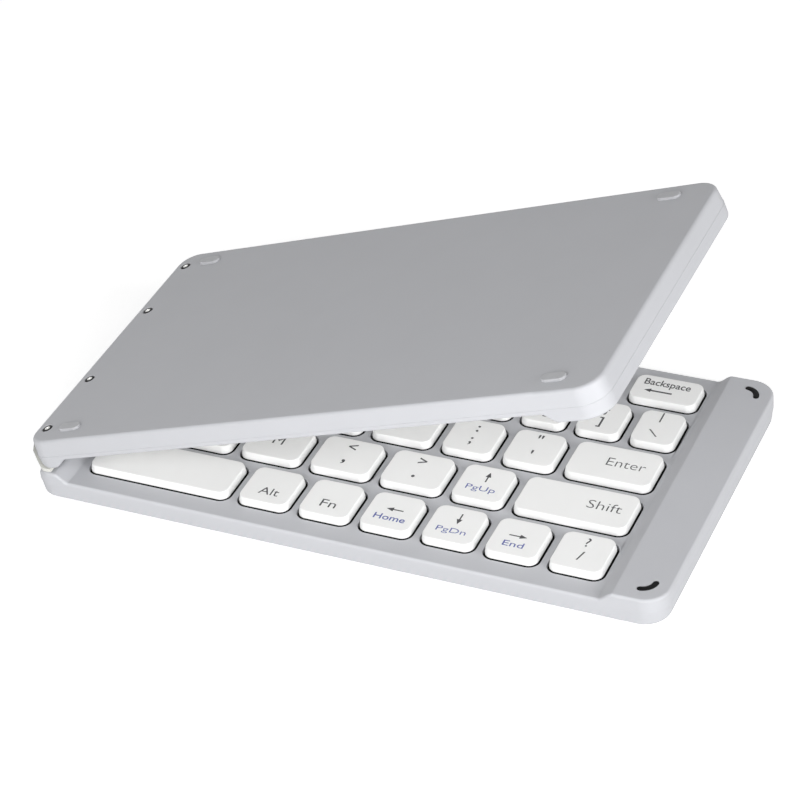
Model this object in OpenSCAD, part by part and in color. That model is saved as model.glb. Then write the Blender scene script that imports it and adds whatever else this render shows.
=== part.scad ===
// Folding pocket keyboard. Two thin halves lie face to face like a clamshell and open flat on a
// hinge of short links with two rods. The base half (right-hand keys) lies on its feet, keys up.
// The lid half (left-hand keys) is drawn part open above it, keys down.
// Heights in each half are counted from its key deck: up to the raised rails, down to the back.

/* [Key field] */
// Gap between neighbouring keycaps
cap_gap = 3.05; // [2.8:0.05:4]
// Width of a number or function keycap
narrow_cap = 12.1; // [10.5:0.05:12.5]
// Width of a letter keycap
letter_cap = 14.65; // [12.5:0.05:15]
// Width of a bracket keycap
bracket_cap = 10.35; // [8.5:0.05:11]
// Width of the backspace keycap
backspace_cap = 16.25; // [14:0.05:17]
// Width of the enter keycap
enter_cap = 20.45; // [18:0.05:22]
// Width of the right shift keycap
shift_cap = 26.65; // [24:0.05:28]
// Distance between the fronts of two key rows
row_pitch = 15.6; // [15:0.1:18]
// Depth of the keycaps in the four front rows
cap_depth = 12.45; // [10.5:0.05:12.8]
// Depth of the keycaps in the back row
back_row_cap = 9.65; // [8.5:0.05:11]
// Width of the key field in the base half, which its keycaps share in proportion to their widths
base_field = 126.55; // [125:0.05:140]
// Deck left beside the longest key row of the base half
field_spare = 0.9; // [0.5:0.1:2]
// Width of the key field in the lid half
lid_field = 122.55; // [121:0.05:135]
// Deck in front of the first key row
front_margin = 5.8; // [5:0.05:9]
// Deck behind the last key row
back_margin = 4.65; // [4.4:0.05:8]
// Distance from the hinge end to the key field
hinge_margin = 11.9; // [11.5:0.05:16]
// Distance from the key field to the free end
end_margin = 16.75; // [16:0.05:20]

/* [Keycaps] */
// Height of a keycap's top over the deck
cap_height = 2.3; // [1.8:0.1:2.4]
// Height of the shoulder where a keycap narrows
cap_shoulder = 1.4; // [0.9:0.1:1.6]
// How far the top of a keycap stands in from its skirt
cap_inset = 0.4; // [0.3:0.1:0.9]
// Corner radius of a keycap
cap_corner = 2.2; // [1.5:0.1:3]
// Wall of a keycap
cap_wall = 1; // [0.8:0.1:1.2]
// Radius of the stem that presses the dome
stem_radius = 1.4; // [1:0.1:1.8]
// Clearance between a keycap and its hole in the deck
cap_clearance = 0.35; // [0.3:0.05:0.5]
// How far a keycap's flange reaches under the deck
flange_reach = 0.5; // [0.3:0.1:0.6]
// Thickness of the flange
flange_thickness = 0.5; // [0.4:0.1:0.5]
// Running gap between the flange and the deck
flange_gap = 0.1; // [0.1:0.05:0.15]
// How far a key travels
key_travel = 1.5; // [1:0.1:1.5]

/* [Casings] */
// From the deck to the back of the base half
base_drop = 5.2; // [5.2:0.1:7]
// From the deck to the back of the lid half
lid_drop = 5.4; // [5.2:0.1:7]
// Height of the free-end rail over the deck
rail_height = 2.3; // [2:0.1:2.3]
// Width of the flat top of the free-end rail
rail_flat = 11.5; // [10.5:0.1:12]
// Width that the rail's slope takes on the deck
slope_width = 2.7; // [1.5:0.1:3]
// Width from the hinge end to the foot of the hinge hump
hump_foot = 9.2; // [8.8:0.1:9.6]
// How far down the deck cover's side reaches
cover_lip = 1.3; // [1.1:0.1:1.4]
// Thickness of the deck and of the back
skin = 1; // [0.9:0.05:1]
// Thickness of the side walls
side_wall = 1.2; // [1:0.1:1.4]
// Corner radius at the free end
free_corner = 6; // [4:0.5:7]
// Corner radius at the hinge end
hinge_corner = 5; // [3:0.5:6]

/* [Hinge] */
// Angle at which the lid stands open
lid_angle = 18.4; // [0:0.1:60]
// Depth of each rod under the deck
pivot_drop = 2.1; // [2:0.05:2.2]
// Length of the links between the two rods
link_length = 9.4; // [9.4:0.1:10.5]
// Half thickness of a link
link_radius = 1.75; // [1.5:0.05:1.8]
// Width of the two outer links
link_width = 12.5; // [8:0.5:13]
// Width of the middle link, which guards the ribbon cable
cable_link_width = 10; // [8:0.5:12]
// Distance of the outer links from the middle
link_offset = 25.5; // [24:0.5:27]
// Radius of the rods
rod_radius = 0.8; // [0.6:0.05:0.9]
// Radial clearance of the rods in their bores
rod_clearance = 0.05; // [0.02:0.01:0.08]
// Gap between a link and what it moves past
link_gap = 0.3; // [0.3:0.05:0.4]
// How far the curved end caps stand out round the lid's knuckles
end_cap_rim = 0.85; // [0.6:0.05:0.9]
// Gap between the end caps and the base half's knuckles
end_cap_gap = 0.35; // [0.3:0.05:0.6]
// Width of the ribbon cable
ribbon_width = 8; // [5:0.5:8]
// Thickness of the ribbon cable
ribbon_thickness = 0.2; // [0.15:0.05:0.3]

/* [Screws, feet and bumpers] */
// Radius of a screw head
screw_head = 1; // [0.8:0.1:1.2]
// Height of a screw head
screw_head_height = 0.5; // [0.4:0.1:0.6]
// Radius of a screw's shank
screw_shank = 0.6; // [0.4:0.05:0.7]
// Length of a screw's shank
screw_length = 1.3; // [0.9:0.1:1.4]
// Distance of the screws from the hinge end
screw_inset = 3.5; // [3.4:0.1:4.2]
// Distance of the inner screws from the middle
inner_screw = 14.75; // [13.5:0.25:16]
// Distance of the outer screws from the middle
outer_screw = 35; // [34:0.5:36]
// Length of a foot
foot_length = 6.6; // [5:0.2:8]
// Width of a foot
foot_width = 3; // [2:0.2:4]
// Height of a foot
foot_height = 0.6; // [0.4:0.1:1]
// Distance of the feet from the front and back
foot_edge = 5.5; // [5:0.5:9]
// Distance of the hinge-side feet from the hinge end
foot_inset = 10.8; // [10:0.5:14]
// Distance of the outer feet from the free end
foot_end = 12; // [8:0.5:16]
// Radius of a bumper's arc along its middle
bumper_arc = 3; // [2:0.1:3.5]
// Width of a bumper
bumper_width = 1; // [0.8:0.1:1.2]
// How far a bumper stands over its rail
bumper_proud = 0.25; // [0.15:0.05:0.3]
// Depth of a bumper's groove
bumper_depth = 0.5; // [0.3:0.1:0.7]
// Distance of a bumper's centre from both sides of its corner
bumper_place = 6.8; // [6:0.1:8]

/* [Inside] */
// Thickness of the steel plates under the keys
plate_thickness = 0.5; // [0.4:0.1:0.5]
// Thickness of the rubber dome sheets
sheet_thickness = 0.3; // [0.2:0.1:0.3]
// Radius of a dome
dome_radius = 2.2; // [1.5:0.1:3]
// Height of a pressed dome over its sheet
dome_height = 0.2; // [0.1:0.05:0.2]
// Thickness of the circuit board
board_thickness = 0.8; // [0.6:0.1:1]
// Length of the circuit board
board_length = 56; // [40:1:58]
// Width of the battery
battery_width = 10; // [7:0.5:11]
// Length of the battery
battery_length = 60; // [40:1:65]
// Height of the battery
battery_height = 4; // [3:0.1:4]
// Radius of the closing magnets
magnet_radius = 2.5; // [1.5:0.1:2.6]
// Height of the closing magnets
magnet_height = 1.4; // [0.8:0.1:1.4]
// Distance of the magnets from the middle
magnet_offset = 27; // [20:0.5:30]
// Width of the charging port
port_width = 7.6; // [6:0.1:8]
// Height of the charging port
port_height = 2.5; // [2:0.1:2.6]
// Depth of the charging port
port_depth = 5.2; // [4:0.1:6]
// Wall of the charging port
port_wall = 0.35; // [0.3:0.05:0.4]
// Width of the power switch knob
knob_width = 4; // [3:0.1:5]
// Height of the power switch knob
knob_height = 1.1; // [0.8:0.1:1.2]
// How far the power switch slides
knob_travel = 2.5; // [1.5:0.1:3]
// Radius of the status light
light_radius = 0.7; // [0.5:0.05:0.8]

/* [Hidden] */
$fn = 48;

shell_colour = "#d6d6da";
deck_colour = "#acaeb1";
back_colour = "#a4a5a8";
cap_colour = "#ebebea";
cream_colour = "#dedfd2";
rubber_colour = "#1c1c1e";
steel_colour = "#b9bcc0";
board_colour = "#2f5a3c";

slack = 0.01;           // overshoot of a cut through a face
clear = 0.1;            // gap between two pieces of one body
row_count = 5;
depth = front_margin + (row_count - 1) * row_pitch + back_row_cap + back_margin;
base_length = hinge_margin + base_field + end_margin;
lid_length = hinge_margin + lid_field + end_margin;
// The links keep the two rounded hinge ends just clear of each other with an end cap between
knuckle = (link_length - end_cap_rim - end_cap_gap) / 2;  // radius of a hinge end about its rod
pivot_inset = knuckle;                  // rods, from the hinge end
end_cap_radius = knuckle + end_cap_rim;
hump_height = knuckle - pivot_drop;     // height of the hinge hump over the deck
lid_reach = pivot_inset * cos(lid_angle) + (lid_drop - pivot_drop) * sin(lid_angle);
left_end = pivot_inset - max(end_cap_radius, lid_reach);
flange_low = skin + flange_gap + flange_thickness;
plate_inset = 7.3;                      // start of the plates, past the hinge brackets
plate_end = end_margin - cap_clearance - flange_reach - clear;
board_inset = side_wall + 2 * clear;
rail_middle = rail_flat / 2 + side_wall;
magnet_inset = rail_flat - magnet_radius - 4.5 * clear;  // in the base, from its free end
port_place = base_length - rail_flat + 14 * clear;
switch_place = base_length - 2 * end_margin;
light_place = base_length - end_margin - 6;
switch_level = skin + plate_thickness + sheet_thickness + clear + knob_height / 2 - base_drop;
wall_inside = depth - side_wall;
link_places = [depth / 2 - link_offset, depth / 2, depth / 2 + link_offset];
link_widths = [link_width, cable_link_width, link_width];
screw_places = [
  depth / 2 - outer_screw, depth / 2 - inner_screw, depth / 2 + inner_screw, depth / 2 + outer_screw
];
knuckle_starts = [
  side_wall, link_places[0] + link_width / 2 + link_gap,
  link_places[1] + cable_link_width / 2 + link_gap, link_places[2] + link_width / 2 + link_gap
];
knuckle_ends = [
  link_places[0] - link_width / 2 - link_gap, link_places[1] - cable_link_width / 2 - link_gap,
  link_places[2] - link_width / 2 - link_gap, depth - side_wall
];

// Key rows, counted from the back. Widths run from the free end to the hinge end.
cap_shares = [
  concat([backspace_cap], [for (i = [1:7]) narrow_cap]),
  concat([for (i = [1:3]) bracket_cap], [for (i = [1:5]) letter_cap]),
  concat([enter_cap, narrow_cap, narrow_cap], [for (i = [1:4]) letter_cap]),
  concat([shift_cap, narrow_cap], [for (i = [1:4]) letter_cap]),
  [for (i = [1:6]) narrow_cap]
];
// The second row is the longest. All caps grow or shrink by as much as makes it fit the field.
cap_fill = (base_field - field_spare - (len(cap_shares[1]) - 1) * cap_gap)
  / (3 * bracket_cap + 5 * letter_cap);
base_rows = [for (shares = cap_shares) [for (share = shares) share * cap_fill]];
// In the lid the outermost key fills what is left of the field.
lid_stagger = [0, 4, 0, 0, 0];
lid_rows = [
  [for (i = [1:6]) letter_cap],
  [for (i = [1:5]) letter_cap],
  [for (i = [1:5]) letter_cap],
  [for (i = [1:5]) letter_cap],
  concat([letter_cap * 2 + cap_gap * 2], [for (i = [1:4]) narrow_cap])
];

function row_front(row) = front_margin + (row_count - row) * row_pitch;
function row_cap(row) = row == 1 ? back_row_cap : cap_depth;
function sum_to(list, n) = n <= 0 ? 0 : list[n - 1] + sum_to(list, n - 1);

// Right edge of the base's key i in a row, and the width left for the innermost key
function base_right(row, i) =
  hinge_margin + base_field - sum_to(base_rows[row - 1], i) - i * cap_gap;
function base_count(row) = len(base_rows[row - 1]) + (row > 3 ? 1 : 0);
function base_width(row, i) =
  i < len(base_rows[row - 1]) ? base_rows[row - 1][i] : base_right(row, i) - hinge_margin;
// Left edge of the lid's key i in a row, counted from the hinge end
function lid_left(row, i) =
  hinge_margin + lid_stagger[row - 1] + sum_to(lid_rows[row - 1], i) + i * cap_gap;
function lid_count(row) = len(lid_rows[row - 1]) + 1;
function lid_width(row, i) =
  i < len(lid_rows[row - 1]) ? lid_rows[row - 1][i] : hinge_margin + lid_field - lid_left(row, i);

module in_base() {
  translate([-(base_length + left_end) / 2, -depth / 2, base_drop + foot_height]) children();
}

module in_lid() {
  in_base()
    translate([pivot_inset, 0, link_length - pivot_drop])
      rotate([0, -lid_angle, 0])
        mirror([0, 0, 1])
          translate([-pivot_inset, 0, pivot_drop])
            children();
}

// Turns a drawing in x and height into a bar along the depth
module along_depth(from, to) {
  translate([0, to, 0]) rotate([90, 0, 0]) linear_extrude(to - from) children();
}

module rounded_rect(width, height, radius) {
  translate([radius, 0]) square([width - 2 * radius, height]);
  translate([0, radius]) square([width, height - 2 * radius]);
  for (x = [radius, width - radius], y = [radius, height - radius])
    translate([x, y]) circle(radius);
}

// A half seen from above, drawn in by inset on every side
module plan(length, inset) {
  near = hinge_corner - inset;
  far = free_corner - inset;
  translate([hinge_corner, inset]) square([length - hinge_corner - free_corner, depth - 2 * inset]);
  translate([inset, hinge_corner]) square([near, depth - 2 * hinge_corner]);
  translate([length - free_corner, free_corner]) square([far, depth - 2 * free_corner]);
  for (y = [hinge_corner, depth - hinge_corner]) translate([hinge_corner, y]) circle(near);
  for (y = [free_corner, depth - free_corner]) translate([length - free_corner, y]) circle(far);
}

// A half seen from the front: knuckle, hump, deck, slope and rail. Walls and skins are drawn in.
module side_view(length, drop, wall, thickness) {
  hump_top = hump_foot - slope_width;
  intersection() {
    translate([pivot_inset, -pivot_drop]) circle(knuckle - wall);
    translate([wall, -pivot_drop]) square([knuckle - wall, knuckle]);
  }
  polygon([
    [wall, thickness - drop], [length - wall, thickness - drop],
    [length - wall, rail_height - thickness], [length - rail_flat, rail_height - thickness],
    [length - rail_flat - slope_width, -thickness], [hump_foot, -thickness],
    [hump_top, hump_height - thickness], [pivot_inset, hump_height - thickness],
    [pivot_inset, -pivot_drop], [wall, -pivot_drop]
  ]);
}

module half_block(length, drop, wall, thickness) {
  intersection() {
    along_depth(wall, depth - wall) side_view(length, drop, wall, thickness);
    translate([0, 0, -drop]) linear_extrude(drop + rail_height) plan(length, wall);
  }
}

module half_casing(length, drop) {
  difference() {
    half_block(length, drop, 0, 0);
    half_block(length, drop, side_wall, skin);
    link_channels(drop);
  }
}

// Room for the links to swing from straight up to straight out of the hinge end
module link_channels(drop) {
  reach = link_radius + link_gap;
  for (i = [0:2])
    translate([-slack, link_places[i] - link_widths[i] / 2 - link_gap, -pivot_drop - reach])
      cube([pivot_inset + reach + slack, link_widths[i] + 2 * link_gap, knuckle + reach + slack]);
}

module below_lip(length, drop) {
  translate([-slack, -slack, -drop - slack])
    cube([length + 2 * slack, depth + 2 * slack, drop - cover_lip + slack]);
}

module keycap(width, cap) {
  low = -flange_low;
  skirt = cap_clearance + flange_reach;
  inner = cap_corner - cap_inset;
  difference() {
    union() {
      translate([0, 0, low])
        linear_extrude(cap_shoulder - low) rounded_rect(width, cap, cap_corner);
      translate([cap_inset, cap_inset, low])
        linear_extrude(cap_height - low)
          rounded_rect(width - 2 * cap_inset, cap - 2 * cap_inset, inner);
      translate([-skirt, -skirt, low])
        linear_extrude(flange_thickness)
          rounded_rect(width + 2 * skirt, cap + 2 * skirt, cap_corner + skirt);
    }
    translate([cap_wall, cap_wall, low - slack])
      linear_extrude(cap_shoulder - low + slack)
        rounded_rect(width - 2 * cap_wall, cap - 2 * cap_wall, cap_corner - cap_wall);
  }
  translate([width / 2, cap / 2, low]) cylinder(r = stem_radius, h = cap_shoulder - low + slack);
}

module key_hole(width, cap) {
  translate([-cap_clearance, -cap_clearance, -skin - slack])
    linear_extrude(skin + 2 * slack)
      rounded_rect(width + 2 * cap_clearance, cap + 2 * cap_clearance, cap_corner + cap_clearance);
}

module base_keys(row, first, last) {
  for (i = [first:last])
    translate([base_right(row, i) - base_width(row, i), row_front(row), 0])
      keycap(base_width(row, i), row_cap(row));
}

module lid_keys(row) {
  for (i = [0:lid_count(row) - 1])
    translate([lid_left(row, i), row_front(row), 0]) keycap(lid_width(row, i), row_cap(row));
}

module base_key(row, i) {
  color(cap_colour) in_base() base_keys(row, i, i);
}

module base_inner_keys(row, first) {
  color(cap_colour) in_base() base_keys(row, first, base_count(row) - 1);
}

module lid_key_row(row) {
  color(cap_colour) in_lid() lid_keys(row);
}

// Two grooves or two strips that curve round the free-end corners of a rail
module bumper_pair(length, low, high, spare) {
  for (side = [0, 1])
    translate([length - bumper_place, side ? depth - bumper_place : bumper_place, low])
      intersection() {
        difference() {
          cylinder(r = bumper_arc + bumper_width / 2 + spare, h = high - low);
          translate([0, 0, -slack])
            cylinder(r = bumper_arc - bumper_width / 2 - spare, h = high - low + 2 * slack);
        }
        translate([-bumper_width - spare, side ? -bumper_width - spare : -2 * bumper_arc, -slack])
          cube([3 * bumper_arc, 2 * bumper_arc + bumper_width + spare, high - low + 2 * slack]);
      }
}

module screw_cuts(drop) {
  for (y = screw_places)
    translate([screw_inset, y, -drop - slack]) {
      cylinder(r = screw_head + clear, h = screw_head_height + 2 * slack);
      cylinder(r = screw_shank + clear, h = screw_head_height + screw_length + clear + slack);
    }
}

module screws(drop) {
  slot = screw_head / 2;
  for (y = screw_places)
    translate([screw_inset, y, -drop])
      difference() {
        union() {
          cylinder(r = screw_head, h = screw_head_height);
          cylinder(r = screw_shank, h = screw_head_height + screw_length);
        }
        translate([0, 0, -slack]) cylinder(r = slot, h = screw_head_height / 2, $fn = 6);
      }
}

module feet(length, drop) {
  for (x = [foot_inset, length - foot_end], y = [foot_edge, depth - foot_edge])
    translate([x - foot_length / 2, y - foot_width / 2, -drop - foot_height])
      linear_extrude(foot_height) rounded_rect(foot_length, foot_width, foot_width / 2 - slack);
}

module key_plate(length, drop) {
  translate([plate_inset, board_inset, skin - drop])
    cube([length - plate_inset - plate_end, depth - 2 * board_inset, plate_thickness]);
}

module dome_sheet(length, drop) {
  translate([plate_inset, board_inset, skin + plate_thickness - drop])
    cube([length - plate_inset - plate_end, depth - 2 * board_inset, sheet_thickness]);
}

module dome(x, y, drop) {
  translate([x, y, skin + plate_thickness - drop])
    cylinder(r = dome_radius, h = sheet_thickness + dome_height);
}

module hinge_brackets(drop) {
  foot = plate_inset - 3 * clear;
  difference() {
    union()
      for (i = [0:3]) {
        from = knuckle_starts[i] + clear;
        to = knuckle_ends[i] - clear;
        along_depth(from, to) {
          intersection() {
            translate([pivot_inset, -pivot_drop]) circle(knuckle - side_wall - clear);
            translate([0, -pivot_drop]) square([foot, knuckle]);
          }
          translate([side_wall + clear, skin - drop])
            square([foot - side_wall - clear, drop - skin - pivot_drop]);
        }
      }
    corner_trim(drop);
    rod(rod_clearance);
    screw_cuts(drop);
  }
}

// Takes the bracket ends back where the casing's corners are round
module corner_trim(drop) {
  inset = side_wall + clear;
  difference() {
    translate([0, 0, -drop]) cube([hinge_corner, depth, drop + hump_height]);
    translate([0, 0, -drop - slack])
      linear_extrude(drop + hump_height + 2 * slack) plan(base_length, inset);
  }
}

module rod(spare) {
  start = side_wall + 6 * clear;
  translate([pivot_inset, start, -pivot_drop])
    rotate([-90, 0, 0]) cylinder(r = rod_radius + spare, h = depth - 2 * start);
}

module magnets(length, top) {
  for (side = [-1, 1])
    translate([length, depth / 2 + side * magnet_offset, top - magnet_height])
      cylinder(r = magnet_radius, h = magnet_height);
}

module port_opening() {
  spare = clear / 2;
  translate([port_place - port_width / 2 - spare, wall_inside - slack, port_level() - spare])
    cube([port_width + 2 * spare, side_wall + 2 * slack, port_height + 2 * spare]);
}

function port_level() = skin + board_thickness - base_drop;

module switch_slot() {
  translate([
    switch_place - knob_width / 2 - link_gap, wall_inside - slack,
    switch_level - knob_height / 2 - link_gap
  ])
    cube([knob_width + knob_travel + 2 * link_gap, side_wall + 2 * slack, knob_height + 2 * link_gap]);
}

module light_hole(spare) {
  translate([light_place, wall_inside - 2 * clear, switch_level])
    rotate([-90, 0, 0]) cylinder(r = light_radius + spare, h = side_wall + 2 * clear);
}

module base_back_shell() {
  color(shell_colour) in_base() difference() {
    intersection() {
      half_casing(base_length, base_drop);
      below_lip(base_length, base_drop);
    }
    screw_cuts(base_drop);
    port_opening();
    switch_slot();
    translate([0, slack, 0]) light_hole(clear / 2);
  }
}

module base_deck() {
  color(deck_colour) in_base() difference() {
    half_casing(base_length, base_drop);
    below_lip(base_length, base_drop);
    for (row = [1:row_count], i = [0:base_count(row) - 1])
      translate([base_right(row, i) - base_width(row, i), row_front(row), 0])
        key_hole(base_width(row, i), row_cap(row));
    bumper_pair(base_length, rail_height - bumper_depth, rail_height + slack, clear / 2);
    port_opening();
  }
}

module base_key_plate() {
  color(steel_colour) in_base() key_plate(base_length, base_drop);
}

module base_dome_sheet() {
  color("dimgray") in_base() {
    dome_sheet(base_length, base_drop);
    for (row = [1:row_count], i = [0:base_count(row) - 1])
      dome(base_right(row, i) - base_width(row, i) / 2, row_front(row) + row_cap(row) / 2, base_drop);
  }
}

module base_hinge_brackets() {
  color(steel_colour) in_base() hinge_brackets(base_drop);
}

module base_screws() {
  color(steel_colour) in_base() screws(base_drop);
}

module base_feet() {
  color("gainsboro") in_base() feet(base_length, base_drop);
}

module base_bumpers() {
  color(rubber_colour) in_base()
    bumper_pair(base_length, rail_height - bumper_depth, rail_height + bumper_proud, 0);
}

module base_magnets() {
  color(steel_colour) in_base() magnets(base_length - magnet_inset, rail_height - skin);
}

module circuit_board() {
  low = skin - base_drop;
  start = base_length - plate_end + clear;
  color(board_colour) in_base() {
    translate([start, depth - side_wall - clear - board_length, low])
      cube([base_length - board_inset - start - free_corner / 4, board_length - free_corner / 2,
            board_thickness]);
    translate([start, depth / 2, low])
      cube([rail_flat / 2, rail_flat / 2, board_thickness + skin]);
  }
}

module charging_port() {
  color(steel_colour) in_base()
    translate([port_place - port_width / 2, depth - clear - port_depth, port_level()])
      difference() {
        cube([port_width, port_depth, port_height]);
        translate([port_wall, 2 * port_wall, port_wall])
          cube([port_width - 2 * port_wall, port_depth, port_height - 2 * port_wall]);
      }
}

module switch_housing() {
  back = wall_inside - clear;
  front = back - (back_margin - side_wall - cap_clearance - flange_reach - 3 * clear);
  low = skin - base_drop + plate_thickness + sheet_thickness + clear;
  color("dimgray") in_base() difference() {
    translate([switch_place - knob_width, front, low])
      cube([2 * knob_width + knob_travel, back - front, -skin - clear - low]);
    translate([
      switch_place - knob_width / 2 - link_gap, back - skin, switch_level - knob_height / 2 - link_gap
    ])
      cube([knob_width + knob_travel + 2 * link_gap, skin + slack, knob_height + 2 * link_gap]);
  }
}

module power_switch() {
  rear = depth - 2 * clear;
  front = wall_inside - clear - skin + link_gap;
  color(rubber_colour) in_base()
    translate([switch_place - knob_width / 2, front, switch_level - knob_height / 2])
      difference() {
        cube([knob_width, rear - front, knob_height]);
        for (i = [1:3])
          translate([i * knob_width / 4 - clear, rear - front - 2 * clear, -slack])
            cube([2 * clear, 2 * clear + slack, knob_height + 2 * slack]);
      }
}

module status_light() {
  color("palegreen") in_base() light_hole(0);
}

module hinge_links() {
  color(steel_colour) in_base() difference() {
    for (i = [0:2])
      along_depth(link_places[i] - link_widths[i] / 2, link_places[i] + link_widths[i] / 2)
        translate([pivot_inset, -pivot_drop]) {
          circle(link_radius);
          translate([0, link_length]) circle(link_radius);
          translate([-link_radius, 0]) square([2 * link_radius, link_length]);
        }
    rod(rod_clearance);
    translate([0, 0, link_length]) rod(rod_clearance);
    ribbon(clear);
  }
}

module ribbon(spare) {
  reach = rod_radius + rod_clearance + 3 * clear - spare;
  translate([
    pivot_inset - ribbon_thickness / 2 - spare, depth / 2 - ribbon_width / 2 - spare,
    reach - pivot_drop
  ])
    cube([ribbon_thickness + 2 * spare, ribbon_width + 2 * spare, link_length - 2 * reach]);
}

module hinge_rods() {
  color(steel_colour) in_base() {
    rod(0);
    translate([0, 0, link_length]) rod(0);
  }
}

module ribbon_cable() {
  color("darkorange") in_base() ribbon(0);
}

module lid_back_shell() {
  color(back_colour) in_lid() difference() {
    intersection() {
      half_casing(lid_length, lid_drop);
      below_lip(lid_length, lid_drop);
    }
    screw_cuts(lid_drop);
  }
}

module lid_deck() {
  color(deck_colour) in_lid() difference() {
    half_casing(lid_length, lid_drop);
    below_lip(lid_length, lid_drop);
    for (row = [1:row_count], i = [0:lid_count(row) - 1])
      translate([lid_left(row, i), row_front(row), 0]) key_hole(lid_width(row, i), row_cap(row));
    bumper_pair(lid_length, rail_height - bumper_depth, rail_height + slack, clear / 2);
  }
}

module lid_key_plate() {
  color(steel_colour) in_lid() key_plate(lid_length, lid_drop);
}

module lid_dome_sheet() {
  color("dimgray") in_lid() {
    dome_sheet(lid_length, lid_drop);
    for (row = [1:row_count], i = [0:lid_count(row) - 1])
      dome(lid_left(row, i) + lid_width(row, i) / 2, row_front(row) + row_cap(row) / 2, lid_drop);
  }
}

module lid_hinge_brackets() {
  color(steel_colour) in_lid() hinge_brackets(lid_drop);
}

// Crescent caps round the lid's front and back knuckles, a little larger than the knuckles
module lid_hinge_caps() {
  rim = end_cap_radius - knuckle;
  width = knuckle_ends[0] - clear;
  color(cream_colour) in_lid() for (from = [clear, depth - clear - width])
    intersection() {
      along_depth(from, from + width)
        difference() {
          translate([pivot_inset, -pivot_drop]) circle(end_cap_radius);
          translate([pivot_inset, -pivot_drop]) circle(knuckle);
          translate([0, -pivot_drop - 2 * end_cap_radius])
            square([3 * end_cap_radius, 2 * end_cap_radius]);
          translate([pivot_inset, -pivot_drop - slack])
            square([end_cap_radius + slack, end_cap_radius + 2 * slack]);
        }
      translate([-rim, -rim, -2 * lid_drop]) linear_extrude(3 * lid_drop) cap_plan(rim);
    }
}

// The lid's outline seen from above at the hinge end, spread by rim
module cap_plan(rim) {
  radius = hinge_corner + rim;
  translate([radius, 0]) square([radius, depth + 2 * rim]);
  translate([0, radius]) square([2 * radius, depth + 2 * rim - 2 * radius]);
  for (y = [radius, depth + 2 * rim - radius]) translate([radius, y]) circle(radius);
}

module lid_screws() {
  color(steel_colour) in_lid() screws(lid_drop);
}

module lid_feet() {
  color("gainsboro") in_lid() feet(lid_length, lid_drop);
}

module lid_bumpers() {
  color(rubber_colour) in_lid()
    bumper_pair(lid_length, rail_height - bumper_depth, rail_height + bumper_proud, 0);
}

module lid_magnets() {
  color(steel_colour) in_lid() magnets(lid_length - rail_middle + 2 * side_wall, rail_height - skin);
}

module battery() {
  color("slategray") in_lid()
    translate([
      lid_length - side_wall - 3 * clear - battery_width, (depth - battery_length) / 2, skin - lid_drop
    ])
      cube([battery_width, battery_length, battery_height]);
}

base_back_shell();
base_deck();
base_key_plate();
base_dome_sheet();
base_hinge_brackets();
base_screws();
base_feet();
base_bumpers();
base_magnets();
circuit_board();
charging_port();
switch_housing();
power_switch();
status_light();
hinge_links();
hinge_rods();
ribbon_cable();
lid_back_shell();
lid_deck();
lid_key_plate();
lid_dome_sheet();
lid_hinge_brackets();
lid_hinge_caps();
lid_screws();
lid_feet();
lid_bumpers();
lid_magnets();
battery();
base_key(5, 0);  // key_slash
base_key(5, 1);  // key_end
base_key(5, 2);  // key_page_down
base_key(5, 3);  // key_home
base_key(5, 4);  // key_fn
base_key(5, 5);  // key_alt
base_key(5, 6);  // key_space
base_key(4, 0);  // key_shift
base_key(4, 1);  // key_page_up
base_key(4, 2);  // key_dot
base_key(4, 3);  // key_comma
base_key(4, 4);  // key_m
base_inner_keys(4, 5);  // right_keys_row_4
base_key(3, 0);  // key_enter
base_key(3, 1);  // key_quote
base_key(3, 2);  // key_semicolon
base_key(3, 3);  // key_l
base_inner_keys(3, 4);  // right_keys_row_3
base_key(2, 0);  // key_backslash
base_key(2, 1);  // key_right_bracket
base_key(2, 2);  // key_left_bracket
base_inner_keys(2, 3);  // right_keys_row_2
base_key(1, 0);  // key_backspace
base_key(1, 1);  // key_equals
base_inner_keys(1, 2);  // right_keys_row_1
lid_key_row(5);  // left_keys_row_5
lid_key_row(4);  // left_keys_row_4
lid_key_row(3);  // left_keys_row_3
lid_key_row(2);  // left_keys_row_2
lid_key_row(1);  // left_keys_row_1
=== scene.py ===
import bmesh
import bpy
import math
from mathutils import Matrix, Vector


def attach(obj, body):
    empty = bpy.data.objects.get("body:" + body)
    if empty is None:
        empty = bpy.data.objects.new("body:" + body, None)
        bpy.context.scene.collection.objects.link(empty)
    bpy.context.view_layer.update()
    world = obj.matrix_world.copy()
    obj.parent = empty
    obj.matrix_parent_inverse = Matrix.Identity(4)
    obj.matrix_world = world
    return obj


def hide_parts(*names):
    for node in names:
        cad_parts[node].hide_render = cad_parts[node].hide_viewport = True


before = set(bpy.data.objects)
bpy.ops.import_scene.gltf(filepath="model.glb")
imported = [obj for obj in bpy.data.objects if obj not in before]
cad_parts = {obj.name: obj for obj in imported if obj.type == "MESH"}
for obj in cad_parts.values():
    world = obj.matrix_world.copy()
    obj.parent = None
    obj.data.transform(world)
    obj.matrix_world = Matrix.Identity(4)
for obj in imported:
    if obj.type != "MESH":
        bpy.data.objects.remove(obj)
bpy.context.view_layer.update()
print("frame loaded,", len(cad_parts), "nodes")

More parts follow.
